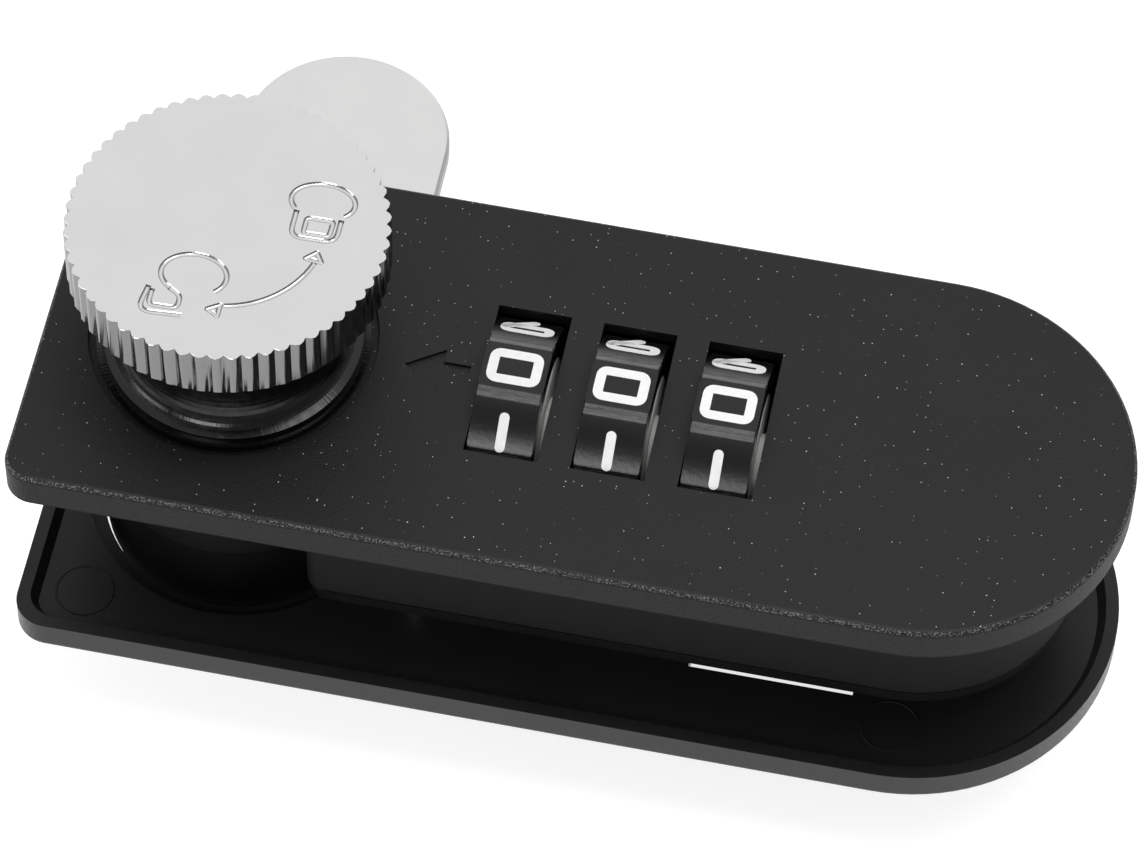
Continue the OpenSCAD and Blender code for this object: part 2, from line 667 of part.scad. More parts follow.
// Detent spring: a strip against the front wall, with a bowed tongue for each dial
module detent_spring() {
    t = 0.3;
    y = -body_in + 0.2;
    touch = -dial_tip_r - 0.15 - t;
    foot = [body_z + 0.3, body_z + 2.6];
    color(STEEL) union() {
        block([dial_x0(0) + 0.6, dial_x1(last) - 0.6], [y, y + t], foot);
        for (i = DIALS) translate([dial_x0(i) + 0.8, 0, 0]) rotate([90, 0, 90]) linear_extrude(dial_w - 1.6)
            polygon([[y, foot[1] - 0.5], [y, foot[1]], [touch, dial_z - 2], [touch, dial_z],
                [touch - 0.8, dial_z + 2], [touch - 0.8 + t, dial_z + 2], [touch + t, dial_z],
                [touch + t, dial_z - 2.1], [y + t, foot[1] - 0.1], [y + t, foot[1] - 0.5]]);
    }
}

module cover_screws() {
    color(STEEL) for (s = COVER_SCREWS) translate([s[0], s[1], 0]) difference() {
        union() {
            translate([0, 0, cover_z - 1]) cylinder(r = cover_post_r - 0.1, h = 1, $fn = 48);
            upright([0, 0], cover_z - 0.5, body_z + cover_screw_grip - 0.5, small_r - 0.03);
        }
        translate([0, 0, cover_z - 1 - 2.4]) cross_slot(2.2);
    }
}

module tray_screws() {
    color(STEEL) for (s = TRAY_SCREWS) translate([s[0], s[1], 0]) difference() {
        union() {
            translate([0, 0, tray_z0 + 0.1]) cylinder(r1 = 2.9, r2 = tray_screw_r - 0.05, h = 1.3, $fn = 48);
            upright([0, 0], tray_z0 + 1, body_z + tray_screw_grip, tray_screw_r - 0.05);
        }
        translate([0, 0, tray_z0 - 2.2]) cross_slot(3);
    }
}

front_housing();
rear_cover();
rear_tray();
knob_cap();
knob_base();
knob_screw();
spindle();
cam();
cam_washer();
cam_screw();
dial(0);  // dial_1
dial(1);  // dial_2
dial(2);  // dial_3
code_wheel(0);  // code_wheel_1
code_wheel(1);  // code_wheel_2
code_wheel(2);  // code_wheel_3
dial_axle();
axle_clips();
code_slider();
code_spring();
locking_slide();
detent_spring();
cover_screws();
tray_screws();
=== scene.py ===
"""Three-dial combination lock for a locker door: its finishes, figures and engraved signs."""

import bmesh
import bpy
import numpy as np
from mathutils import Matrix, Vector


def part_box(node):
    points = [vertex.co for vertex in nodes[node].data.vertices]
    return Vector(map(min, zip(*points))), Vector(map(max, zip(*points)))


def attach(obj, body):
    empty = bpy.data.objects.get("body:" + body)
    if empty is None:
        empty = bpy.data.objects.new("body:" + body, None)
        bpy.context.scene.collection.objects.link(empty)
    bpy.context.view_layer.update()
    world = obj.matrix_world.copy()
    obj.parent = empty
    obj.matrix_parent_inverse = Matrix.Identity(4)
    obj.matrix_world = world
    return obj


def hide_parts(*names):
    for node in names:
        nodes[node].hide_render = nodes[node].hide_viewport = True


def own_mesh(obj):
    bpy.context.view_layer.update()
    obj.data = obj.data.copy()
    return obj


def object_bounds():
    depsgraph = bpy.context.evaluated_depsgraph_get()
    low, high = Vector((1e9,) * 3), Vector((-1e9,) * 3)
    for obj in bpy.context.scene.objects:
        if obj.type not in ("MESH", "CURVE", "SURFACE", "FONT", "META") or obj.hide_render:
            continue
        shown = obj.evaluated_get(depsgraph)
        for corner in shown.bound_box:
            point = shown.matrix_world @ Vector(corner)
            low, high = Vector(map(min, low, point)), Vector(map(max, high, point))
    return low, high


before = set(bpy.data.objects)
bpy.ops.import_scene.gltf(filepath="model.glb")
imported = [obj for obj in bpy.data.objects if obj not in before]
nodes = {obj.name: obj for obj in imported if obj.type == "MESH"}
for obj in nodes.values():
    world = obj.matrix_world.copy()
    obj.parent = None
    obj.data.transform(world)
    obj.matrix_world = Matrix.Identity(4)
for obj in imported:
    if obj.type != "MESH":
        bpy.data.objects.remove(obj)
cad_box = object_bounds()

MM = 0.001


# Camera: the photograph is taken from in front of the lock and above it, a little to the right, with a
# long lens. The values are fitted to the faceplate's outline, the windows and the knob.
cam_azimuth, cam_elevation, cam_roll = np.radians([10.183, 56.074, 1.373])
cam_distance = 494.5 * MM
cam_target = np.array([29.36, -3.49, 3.4]) * MM
sensor_width = 36.0
lens_length = 188.6

to_camera = np.array([np.sin(cam_azimuth) * np.cos(cam_elevation),
                      -np.cos(cam_azimuth) * np.cos(cam_elevation), np.sin(cam_elevation)])
level_right = np.array([np.cos(cam_azimuth), np.sin(cam_azimuth), 0.0])
level_up = np.cross(to_camera, level_right)
cam_right = np.cos(cam_roll) * level_right + np.sin(cam_roll) * level_up
cam_up = np.cos(cam_roll) * level_up - np.sin(cam_roll) * level_right
camera_data = bpy.data.cameras.new("camera")
camera_data.lens = lens_length
camera_data.sensor_width = sensor_width
camera_data.clip_start, camera_data.clip_end = 0.05, 20.0
camera = bpy.data.objects.new("camera", camera_data)
bpy.context.scene.collection.objects.link(camera)
pose = np.eye(4)
pose[:3, 0], pose[:3, 1], pose[:3, 2] = cam_right, cam_up, to_camera
pose[:3, 3] = cam_target + to_camera * cam_distance
camera.matrix_world = Matrix(pose.tolist())
bpy.context.scene.camera = camera
bpy.context.scene.view_settings.view_transform = "Standard"


# Studio: a white sweep under the lock, lit by a small soft box overhead and one each from the left, the
# front and the right. The sweep shows white to the camera and in the plating, and is clear from below.
floor_drop = 4 * MM
sweep_size = 4.0
sweep_cells = 24
bend_start, bend_rise = 0.9, 0.6
lamp_aim = (0.03, 0.0, 0.0)
bright_way = (-0.1, 0.55, 0.83)
dark_sky, bright_sky = 0.24, 0.93


def linear(hex_colour):
    """An sRGB hex colour as the linear RGBA that a shader takes."""
    srgb = np.array([int(hex_colour[i:i + 2], 16) for i in (1, 3, 5)]) / 255.0
    low = srgb / 12.92
    high = ((srgb + 0.055) / 1.055) ** 2.4
    return (*np.where(srgb <= 0.04045, low, high).tolist(), 1.0)


def add_node(tree, kind, settings=None, **links):
    """Adds a node, sets its attributes and links or sets its inputs, named with _ for a space."""
    node = tree.nodes.new(kind)
    for name, value in (settings or {}).items():
        setattr(node, name, value)
    for name, value in links.items():
        socket = node.inputs[int(name[1:])] if name[1:].isdigit() else node.inputs[name.replace("_", " ")]
        if isinstance(value, bpy.types.NodeSocket):
            tree.links.new(value, socket)
        else:
            socket.default_value = value
    return node


def empty_material(name):
    """A new material with no nodes, its node tree and its output."""
    material = bpy.data.materials.new(name)
    material.use_nodes = True
    material.node_tree.nodes.clear()
    return material, material.node_tree, material.node_tree.nodes.new("ShaderNodeOutputMaterial")


sweep_paper, tree, output = empty_material("white_sweep_paper")
rays = add_node(tree, "ShaderNodeLightPath")
mirrored = add_node(tree, "ShaderNodeMath", {"operation": "MAXIMUM"}, _0=rays.outputs["Is Glossy Ray"],
                    _1=rays.outputs["Is Transmission Ray"])
seen = add_node(tree, "ShaderNodeMath", {"operation": "MAXIMUM"}, _0=rays.outputs["Is Camera Ray"],
                _1=mirrored.outputs[0])
paper = add_node(tree, "ShaderNodeBsdfDiffuse", Color=linear("#f4f4f4"))
white = add_node(tree, "ShaderNodeEmission", Color=(1, 1, 1, 1), Strength=0.74)
half_paper = add_node(tree, "ShaderNodeBsdfDiffuse", Color=linear("#c4c4c4"))
floor_shader = add_node(tree, "ShaderNodeAddShader", _0=white.outputs[0], _1=half_paper.outputs[0])
camera_floor = add_node(tree, "ShaderNodeMixShader", _0=seen.outputs[0], _1=paper.outputs[0],
                        _2=floor_shader.outputs[0])
underside = add_node(tree, "ShaderNodeNewGeometry").outputs["Backfacing"]
clear = add_node(tree, "ShaderNodeBsdfTransparent")
open_floor = add_node(tree, "ShaderNodeMixShader", _0=underside, _1=camera_floor.outputs[0],
                      _2=clear.outputs[0])
tree.links.new(open_floor.outputs[0], output.inputs["Surface"])
lowest = cad_box[0][2]
across = np.linspace(-sweep_size / 2, sweep_size / 2, sweep_cells + 1)
grid_x, grid_y = np.meshgrid(across, across)
rise = np.clip(grid_y - bend_start, 0, None) ** 2 * bend_rise
sweep_points = np.stack([grid_x, grid_y, lowest - floor_drop + rise], -1).reshape(-1, 3)
row, col = np.meshgrid(np.arange(sweep_cells), np.arange(sweep_cells), indexing="ij")
corner = (row * (sweep_cells + 1) + col).ravel()
sweep_faces = np.stack([corner, corner + 1, corner + sweep_cells + 2, corner + sweep_cells + 1], -1)
sweep_mesh = bpy.data.meshes.new("sweep")
sweep_mesh.from_pydata(sweep_points.tolist(), [], sweep_faces.tolist())
sweep_mesh.materials.append(sweep_paper)
sweep = bpy.data.objects.new("sweep", sweep_mesh)
bpy.context.scene.collection.objects.link(sweep)


def soft_box(name, place, width, height, watts):
    """An area light of that size at place, turned towards the middle of the lock."""
    data = bpy.data.lights.new(name, "AREA")
    data.shape = "RECTANGLE"
    data.size, data.size_y, data.energy = width, height, watts
    light = bpy.data.objects.new(name, data)
    bpy.context.scene.collection.objects.link(light)
    facing = (Vector(lamp_aim) - Vector(place)).to_track_quat("-Z", "Y").to_matrix().to_4x4()
    light.matrix_world = Matrix.Translation(place) @ facing


soft_box("overhead_soft_box", (0.07, -0.04, 1.0), 0.44, 0.22, 2.9)
soft_box("left_soft_box", (-0.9, -0.5, 0.5), 0.5, 0.4, 1.9)
soft_box("front_soft_box", (-0.2, -0.85, 0.58), 0.42, 0.3, 2.6)
soft_box("right_soft_box", (0.45, 0.0, 0.95), 0.4, 0.4, 1.6)
world = bpy.data.worlds.new("studio")
world.use_nodes = True
tree = world.node_tree
way = add_node(tree, "ShaderNodeTexCoord").outputs["Generated"]
behind = add_node(tree, "ShaderNodeVectorMath", {"operation": "DOT_PRODUCT"}, _0=way, _1=bright_way)
glow = add_node(tree, "ShaderNodeMapRange", {"interpolation_type": "SMOOTHSTEP"},
                Value=behind.outputs["Value"], From_Min=0.35, From_Max=0.95, To_Min=dark_sky,
                To_Max=bright_sky)
tree.links.new(glow.outputs[0], tree.nodes["Background"].inputs["Strength"])
tree.nodes["Background"].inputs["Color"].default_value = (1, 1, 1, 1)
bpy.context.scene.world = world


# Front housing, rear cover and code slider: injection moulded ABS, the faceplate sparked to a fine sand
# texture in the mould. It looks dull black, with dust in the grain and grey chips on the rim's roundings,
# partly wear from handling and partly a painted highlight along the edges. The real grain of about
# 0.05 mm is too fine to show, so it is drawn coarser.
housing_black = "#0d0d0e"
shaded_black = "#050506"
dust_white = "#c8c8c8"
chip_and_highlight_grey = "#77777a"
sand_grain = 0.19
blotch = 9
dust_spacing, dust_radius = 0.7, 0.085
dust_bend, dust_bend_pitch = 0.08, 0.15
chip_pitch = 0.14
plate_rise = 0.2


def moulded_abs(name, colour, roughness, grain, depth, shine=0.3, dusty_above=None):
    """Black ABS: grain is the texture's pitch and depth its height, in millimetres.

    Above the height dusty_above the surface is sanded, carries white dust where it lies level, and is
    painted grey in chips on its roundings, partly as wear and partly as a painted highlight. Below that
    height it is smooth.
    """
    material, tree, output = empty_material(name)
    place = add_node(tree, "ShaderNodeTexCoord").outputs["Object"]
    sand = add_node(tree, "ShaderNodeTexNoise", Vector=place, Scale=1 / (grain * MM), Detail=2.0,
                    Roughness=0.6)
    cloud = add_node(tree, "ShaderNodeTexNoise", Vector=place, Scale=1 / (blotch * MM), Detail=3.0)
    tone = add_node(tree, "ShaderNodeMix", {"data_type": "RGBA"}, _6=linear(colour), _7=linear("#151516"))
    share = add_node(tree, "ShaderNodeMapRange", Value=cloud.outputs["Fac"], From_Min=0.35, From_Max=0.75,
                     To_Min=0.0, To_Max=0.5)
    tree.links.new(share.outputs[0], tone.inputs[0])
    colour_out = tone.outputs[2]
    dull = add_node(tree, "ShaderNodeMapRange", Value=sand.outputs["Fac"], From_Min=0.3, From_Max=0.7,
                    To_Min=roughness - 0.06, To_Max=roughness + 0.06).outputs[0]
    strength = 0.5
    if dusty_above is not None:
        height = add_node(tree, "ShaderNodeSeparateXYZ", Vector=place).outputs["Z"]
        sanded = add_node(tree, "ShaderNodeMapRange", Value=height, From_Min=dusty_above,
                          From_Max=dusty_above + plate_rise * MM).outputs[0]
        facing = add_node(tree, "ShaderNodeNewGeometry").outputs["True Normal"]
        upward = add_node(tree, "ShaderNodeSeparateXYZ", Vector=facing).outputs["Z"]
        level = add_node(tree, "ShaderNodeMapRange", Value=upward, From_Min=0.9, From_Max=0.98).outputs[0]
        stir = add_node(tree, "ShaderNodeTexNoise", Vector=place, Scale=1 / (dust_bend_pitch * MM),
                        Detail=1.0)
        stirred = add_node(tree, "ShaderNodeVectorMath", {"operation": "MULTIPLY_ADD"},
                           _0=stir.outputs["Color"], _1=(dust_bend * MM,) * 3, _2=place)
        dust = add_node(tree, "ShaderNodeTexVoronoi", {"voronoi_dimensions": "2D"},
                        Vector=stirred.outputs[0], Scale=1 / (dust_spacing * MM), Randomness=1.0)
        chance = add_node(tree, "ShaderNodeSeparateColor", Color=dust.outputs["Color"]).outputs["Red"]
        size = add_node(tree, "ShaderNodeMapRange", Value=chance, From_Min=0.8, From_Max=1.0,
                        To_Max=dust_radius)
        inside = add_node(tree, "ShaderNodeMath", {"operation": "SUBTRACT"}, _0=size.outputs[0],
                          _1=dust.outputs["Distance"])
        solid = add_node(tree, "ShaderNodeMapRange", Value=inside.outputs[0], From_Max=0.03)
        speck = add_node(tree, "ShaderNodeMath", {"operation": "MULTIPLY"}, _0=solid.outputs[0], _1=level)
        clean = add_node(tree, "ShaderNodeMix", {"data_type": "RGBA"}, _0=sanded,
                         _6=linear(shaded_black), _7=colour_out)
        colour_out = add_node(tree, "ShaderNodeMix", {"data_type": "RGBA"}, _0=speck.outputs[0],
                              _6=clean.outputs[2], _7=linear(dust_white)).outputs[2]
        dull = add_node(tree, "ShaderNodeMix", {"data_type": "FLOAT"}, _0=sanded, _2=0.62,
                        _3=dull).outputs[0]
        strength = add_node(tree, "ShaderNodeMapRange", Value=sanded, To_Min=0.08, To_Max=0.8).outputs[0]
        on_top = add_node(tree, "ShaderNodeMapRange", Value=upward, From_Min=0.0, From_Max=0.98,
                          To_Min=0.16, To_Max=0.33).outputs[0]
        shine = add_node(tree, "ShaderNodeMix", {"data_type": "FLOAT"}, _0=sanded, _2=0.12,
                         _3=on_top).outputs[0]
        lean = add_node(tree, "ShaderNodeMath", {"operation": "SUBTRACT"}, _0=upward, _1=0.6)
        off_lean = add_node(tree, "ShaderNodeMath", {"operation": "ABSOLUTE"}, _0=lean.outputs[0])
        # Painted highlight and wear: grey chips on the roundings stand for the edge highlight as well as
        # for wear.
        rounding = add_node(tree, "ShaderNodeMapRange", Value=off_lean.outputs[0], From_Min=0.3,
                            From_Max=0.36, To_Min=1.0, To_Max=0.0)
        chips = add_node(tree, "ShaderNodeTexNoise", Vector=place, Scale=1 / (chip_pitch * MM), Detail=2.0)
        chips_and_highlight = add_node(tree, "ShaderNodeMapRange", Value=chips.outputs["Fac"], From_Min=0.48,
                           From_Max=0.7)
        worn = add_node(tree, "ShaderNodeMath", {"operation": "MULTIPLY"}, _0=rounding.outputs[0],
                        _1=chips_and_highlight.outputs[0])
        colour_out = add_node(tree, "ShaderNodeMix", {"data_type": "RGBA"}, _0=worn.outputs[0],
                              _6=colour_out, _7=linear(chip_and_highlight_grey)).outputs[2]
    relief = add_node(tree, "ShaderNodeBump", Height=sand.outputs["Fac"], Strength=strength,
                      Distance=depth * MM)
    plastic = add_node(tree, "ShaderNodeBsdfPrincipled", Base_Color=colour_out, Roughness=dull,
                       Normal=relief.outputs[0], IOR=1.5, Specular_IOR_Level=shine)
    tree.links.new(plastic.outputs[0], output.inputs["Surface"])
    return material


def finish_node(name, material):
    """Gives a CAD node its material and says which of the record's slots it takes."""
    slots = nodes[name].data.materials
    slots.clear()
    slots.append(material)
    nodes[name].data.polygons.foreach_set("material_index", [0] * len(nodes[name].data.polygons))


sanded_abs = moulded_abs("sand_textured_black_abs", housing_black, 0.5, sand_grain, 0.035,
                         dusty_above=0.0)
finish_node("front_housing", sanded_abs)
smooth_abs = moulded_abs("smooth_black_abs", shaded_black, 0.6, 0.5, 0.006, shine=0.05)
for name in ("rear_cover", "code_slider"):
    finish_node(name, smooth_abs)


# Rear tray: the same black ABS from a smoother mould, with the round marks that the ejector pins leave
# on its floor.
tray_abs = moulded_abs("satin_black_abs", "#1c1c1d", 0.34, 0.35, 0.008)
finish_node("rear_tray", tray_abs)
pin_marks = [(-10.8, -13.3), (59.1, -12.6)]
pin_mark_radius = 2.45
mark_half, mark_top_half, mark_height, mark_sink = 0.11, 0.044, 0.09, 0.02
mark_steps = 96
tray_floor = 2.1
floor_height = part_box("rear_tray")[0][2] + tray_floor * MM


def revolve(name, profile, centre):
    """A closed ring: each profile point at radius r and height z goes to (r cos a, r sin a, z) for a
    round the circle, about an upright line through centre."""
    angle = np.linspace(0, 2 * np.pi, mark_steps, endpoint=False)
    r, z = profile[:, 0], profile[:, 1]
    points = np.stack([centre[0] + np.outer(np.cos(angle), r), centre[1] + np.outer(np.sin(angle), r),
                       centre[2] + np.outer(np.ones(mark_steps), z)], -1).reshape(-1, 3)
    count = len(profile)
    i, j = np.meshgrid(np.arange(mark_steps), np.arange(count), indexing="ij")
    i2, j2 = (i + 1) % mark_steps, (j + 1) % count
    faces = np.stack([i * count + j, i2 * count + j, i2 * count + j2, i * count + j2], -1).reshape(-1, 4)
    mesh = bpy.data.meshes.new(name)
    mesh.from_pydata(points.tolist(), [], faces.tolist())
    mesh.update()
    piece = bpy.data.objects.new(name, mesh)
    bpy.context.scene.collection.objects.link(piece)
    return piece


mark_profile = np.array([
    [pin_mark_radius - mark_half, -mark_sink], [pin_mark_radius + mark_half, -mark_sink],
    [pin_mark_radius + mark_top_half, mark_height], [pin_mark_radius - mark_top_half, mark_height]]) * MM
for count, (x, y) in enumerate(pin_marks, 1):
    mark = revolve(f"ejector_mark_{count}", mark_profile, (x * MM, y * MM, floor_height))
    mark.data.materials.append(tray_abs)
    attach(mark, "housing")


# Knob base: black ABS moulded in a polished tool. It is glossy, with fine scuffs from foot to neck.
foot_radius = 13.0
scratch_pitch, scratch_stretch, scratch_depth = 0.22, 0.12, 0.03
scuff_pitch = 0.8
polished_abs, tree, output = empty_material("polished_black_abs")
place = add_node(tree, "ShaderNodeTexCoord").outputs["Object"]
parts = add_node(tree, "ShaderNodeSeparateXYZ", Vector=place)
around = add_node(tree, "ShaderNodeMath", {"operation": "ARCTAN2"}, _0=parts.outputs["Y"],
                  _1=parts.outputs["X"])
spread = add_node(tree, "ShaderNodeMath", {"operation": "MULTIPLY"}, _0=around.outputs[0],
                  _1=foot_radius * MM)
down = add_node(tree, "ShaderNodeMath", {"operation": "MULTIPLY"}, _0=parts.outputs["Z"],
                _1=scratch_stretch)
unrolled = add_node(tree, "ShaderNodeCombineXYZ", X=spread.outputs[0], Y=down.outputs[0])
scratches = add_node(tree, "ShaderNodeTexNoise", Vector=unrolled.outputs[0],
                     Scale=1 / (scratch_pitch * MM), Detail=2.0)
scuff = add_node(tree, "ShaderNodeTexNoise", Vector=place, Scale=1 / (scuff_pitch * MM), Detail=4.0)
gloss = add_node(tree, "ShaderNodeMapRange", Value=scuff.outputs["Fac"], From_Min=0.3, From_Max=0.7,
                 To_Min=0.14, To_Max=0.26)
relief = add_node(tree, "ShaderNodeBump", Height=scratches.outputs["Fac"], Strength=0.6,
                  Distance=scratch_depth * MM)
plastic = add_node(tree, "ShaderNodeBsdfPrincipled", Base_Color=linear(shaded_black), IOR=1.53,
                   Specular_IOR_Level=0.45, Roughness=gloss.outputs[0], Normal=relief.outputs[0])
tree.links.new(plastic.outputs[0], output.inputs["Surface"])
finish_node("knob_base", polished_abs)


# Knob cap: die-cast zinc, knurled, then copper, nickel and chrome plated. The plating is bright with a
# very soft haze, and the signs for locked, open and turn are engraved in its top.
plating_shade = "#d9d9da"
plating_cloud, plating_ripple = 6, 0.5


def plated_metal(name, colour, roughness, haze, ripple, painted_side_shade=None):
    """Bright plating: fine scratches raise the roughness by up to haze, and ripple is the height of the
    waves in it, in millimetres. Faces that don't look up take a darker side colour, where one is given, as
    painted shade.
    """
    material, tree, output = empty_material(name)
    place = add_node(tree, "ShaderNodeTexCoord").outputs["Object"]
    cloud = add_node(tree, "ShaderNodeTexNoise", Vector=place, Scale=1 / (plating_cloud * MM), Detail=4.0)
    fine = add_node(tree, "ShaderNodeTexNoise", Vector=place, Scale=1 / (plating_ripple * MM), Detail=5.0)
    blur = add_node(tree, "ShaderNodeMapRange", Value=cloud.outputs["Fac"], From_Min=0.3, From_Max=0.7,
                    To_Min=roughness, To_Max=roughness + haze)
    relief = add_node(tree, "ShaderNodeBump", Height=fine.outputs["Fac"], Strength=0.3,
                      Distance=ripple * MM)
    tone = add_node(tree, "ShaderNodeMix", {"data_type": "RGBA"}, _0=cloud.outputs["Fac"],
                    _6=linear(colour), _7=linear(plating_shade))
    # Painted shade: faces that don't look up are darkened towards the side colour.
    if painted_side_shade:
        facing = add_node(tree, "ShaderNodeNewGeometry").outputs["True Normal"]
        upward = add_node(tree, "ShaderNodeSeparateXYZ", Vector=facing).outputs["Z"]
        top = add_node(tree, "ShaderNodeMapRange", Value=upward, From_Min=0.4, From_Max=0.9)
        tone = add_node(tree, "ShaderNodeMix", {"data_type": "RGBA"}, _0=top.outputs[0],
                        _6=linear(painted_side_shade), _7=tone.outputs[2])
    metal = add_node(tree, "ShaderNodeBsdfPrincipled", Base_Color=tone.outputs[2], Metallic=1.0,
                     Roughness=blur.outputs[0], Normal=relief.outputs[0])
    tree.links.new(metal.outputs[0], output.inputs["Surface"])
    return material


# The knurled sides of the knob cap and the walls of its engraved signs take a darker grey, painted shade.
chrome = plated_metal("chrome_plated_zinc", "#e4e4e5", 0.12, 0.06, 0.004, "#7b7b7b")
worn_chrome = plated_metal("chrome_on_worn_edges", "#e4e4e5", 0.14, 0.06, 0.004)
groove_half, groove_depth = 0.24, 0.15
groove_over, groove_rise = 1.2, 0.35
groove_points = 9
arrow_radius = 8.1
worn_edge = 0.1
sharp_angle = np.radians(50)
cap_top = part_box("knob_cap")[1][2]


def rounded_path(corners, radius, closed=False, steps=6):
    """A path through corners in millimetres. Each corner b between the points a and c on its two sides,
    a radius away, becomes the parabola (1 - t)^2 a + 2 t (1 - t) b + t^2 c."""
    corners = [np.array(c, float) for c in corners]
    count = len(corners)
    out = []
    for i, here in enumerate(corners):
        if not closed and i in (0, count - 1):
            out.append(here)
            continue
        before, after = corners[i - 1], corners[(i + 1) % count]
        u, v = before - here, after - here
        reach = min(radius, np.linalg.norm(u) / 2.01, np.linalg.norm(v) / 2.01)
        start, end = here + u / np.linalg.norm(u) * reach, here + v / np.linalg.norm(v) * reach
        t = np.linspace(0, 1, steps)[:, None]
        out.extend((1 - t) ** 2 * start + 2 * t * (1 - t) * here + t ** 2 * end)
    return np.array(out)


def ellipse(cx, cy, rx, ry, start, end, steps=48):
    """Points (cx + rx cos t, cy + ry sin t) for t from start to end, in degrees."""
    t = np.radians(np.linspace(start, end, steps))
    return np.stack([cx + rx * np.cos(t), cy + ry * np.sin(t)], -1)


def groove(path, closed, half, depth, top):
    """A cutter carried along a path in the plane z = top. Its floor lies at top + depth (u^2 - 1) at u
    times half to the side, for u from 1 to -1, and it stands a little wider above the plane."""
    path = np.asarray(path, float)
    if closed:
        along = np.roll(path, -1, 0) - np.roll(path, 1, 0)
    else:
        along = np.gradient(path, axis=0)
    along /= np.linalg.norm(along, axis=1)[:, None]
    side = np.stack([-along[:, 1], along[:, 0]], -1)
    u = np.linspace(1, -1, groove_points)
    lid = [[-groove_over, groove_rise], [groove_over, groove_rise]]
    section = np.concatenate([lid, np.stack([u, u ** 2 - 1], -1)])
    x = path[:, None, 0] + side[:, None, 0] * section[None, :, 0] * half
    y = path[:, None, 1] + side[:, None, 1] * section[None, :, 0] * half
    z = np.broadcast_to(top + section[None, :, 1] * depth, x.shape)
    points = np.stack([x, y, z], -1).reshape(-1, 3)
    n, m = len(path), len(section)
    spans = n if closed else n - 1
    i, j = np.meshgrid(np.arange(spans), np.arange(m), indexing="ij")
    i2, j2 = (i + 1) % n, (j + 1) % m
    faces = np.stack([i * m + j, i2 * m + j, i2 * m + j2, i * m + j2], -1).reshape(-1, 4).tolist()
    if not closed:
        faces += [list(range(m - 1, -1, -1)), [(n - 1) * m + k for k in range(m)]]
    return points, faces


closed_padlock = [
    (ellipse(7.14, 3.82, 2.65, 1.76, 218, -40), False),
    (rounded_path([(5.2, 2.6), (5.2, -0.1), (9.0, 0.0), (9.0, 2.3)], 1.0), False),
    (rounded_path([(6.2, 0.45), (8.35, 0.5), (8.4, 2.05), (6.2, 2.0)], 0.3, True), True),
]
open_padlock = [
    (ellipse(-1.53, -5.43, 2.7, 2.01, 232, -42), False),
    (rounded_path([(-4.85, -7.2), (-5.25, -9.8), (-1.6, -9.55)], 1.2), False),
    (rounded_path([(-4.5, -7.45), (-4.5, -9.0), (-2.1, -8.95), (-2.1, -7.7), (-3.2, -7.05)], 0.5), False),
]
turn_arrow = [
    (ellipse(0, 0, arrow_radius, arrow_radius, -79, -16, 60), False),
    (rounded_path([(7.74, -1.25), (6.95, -2.0), (8.3, -2.15)], 0.03, True), True),
    (rounded_path([(0.3, -8.5), (1.25, -7.9), (1.25, -9.05)], 0.03, True), True),
]


def tidy_mesh(mesh, merge=0.0, recalculate=True):
    """Merges points closer than merge, where it is given, and turns the faces outwards."""
    built = bmesh.new()
    built.from_mesh(mesh)
    if merge:
        bmesh.ops.remove_doubles(built, verts=built.verts, dist=merge)
    if recalculate:
        bmesh.ops.recalc_face_normals(built, faces=built.faces)
    built.to_mesh(mesh)
    built.free()


def plain_object(name, points, faces, material):
    """An object at the origin from points and faces."""
    mesh = bpy.data.meshes.new(name)
    mesh.from_pydata(np.asarray(points).tolist(), [], [list(f) for f in faces])
    mesh.update()
    if material:
        mesh.materials.append(material)
    piece = bpy.data.objects.new(name, mesh)
    bpy.context.scene.collection.objects.link(piece)
    return piece


def plate_slots(mesh):
    """Gives a mesh the chrome of its faces and that of its worn edges."""
    mesh.materials.clear()
    mesh.materials.append(chrome)
    mesh.materials.append(worn_chrome)


sign_points, sign_faces, count = [], [], 0
for path, closed in closed_padlock + open_padlock + turn_arrow:
    points, faces = groove(path, closed, groove_half, groove_depth, cap_top / MM)
    sign_points.append(points)
    sign_faces += [[k + count for k in face] for face in faces]
    count += len(points)
cutter = plain_object("cutter", np.concatenate(sign_points), sign_faces, None)
tidy_mesh(cutter.data)
cap_mesh = nodes["knob_cap"].data.copy()
plate_slots(cap_mesh)
cap_mesh.polygons.foreach_set("material_index", [0] * len(cap_mesh.polygons))
cap_mesh.transform(Matrix.Diagonal((1 / MM, 1 / MM, 1 / MM, 1)))
tidy_mesh(cap_mesh, merge=0.001, recalculate=False)
knob_cap = bpy.data.objects.new("engraved_knob_cap", cap_mesh)
bpy.context.scene.collection.objects.link(knob_cap)
edges = knob_cap.modifiers.new("worn_edges", "BEVEL")
edges.width, edges.segments, edges.material = worn_edge, 1, 1
edges.limit_method, edges.angle_limit = "ANGLE", sharp_angle
engrave = knob_cap.modifiers.new("engrave", "BOOLEAN")
engrave.operation, engrave.solver, engrave.use_self = "DIFFERENCE", "EXACT", True
engrave.object = cutter
finished = knob_cap.evaluated_get(bpy.context.evaluated_depsgraph_get())
engraved = bpy.data.meshes.new_from_object(finished)
knob_cap.modifiers.clear()
bpy.data.objects.remove(cutter)
engraved.transform(Matrix.Diagonal((MM, MM, MM, 1)))
plate_slots(engraved)
engraved.set_sharp_from_angle(angle=sharp_angle)
face_ways = np.empty((len(engraved.polygons), 3), np.float32)
face_slots = np.empty(len(engraved.polygons), np.int32)
engraved.polygons.foreach_get("normal", face_ways.ravel())
engraved.polygons.foreach_get("material_index", face_slots)
engraved.polygons.foreach_set("use_smooth", (face_slots == 0) & (np.abs(face_ways[:, 2]) < 0.1))
knob_cap.data = engraved
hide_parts("knob_cap")
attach(knob_cap, "knob")


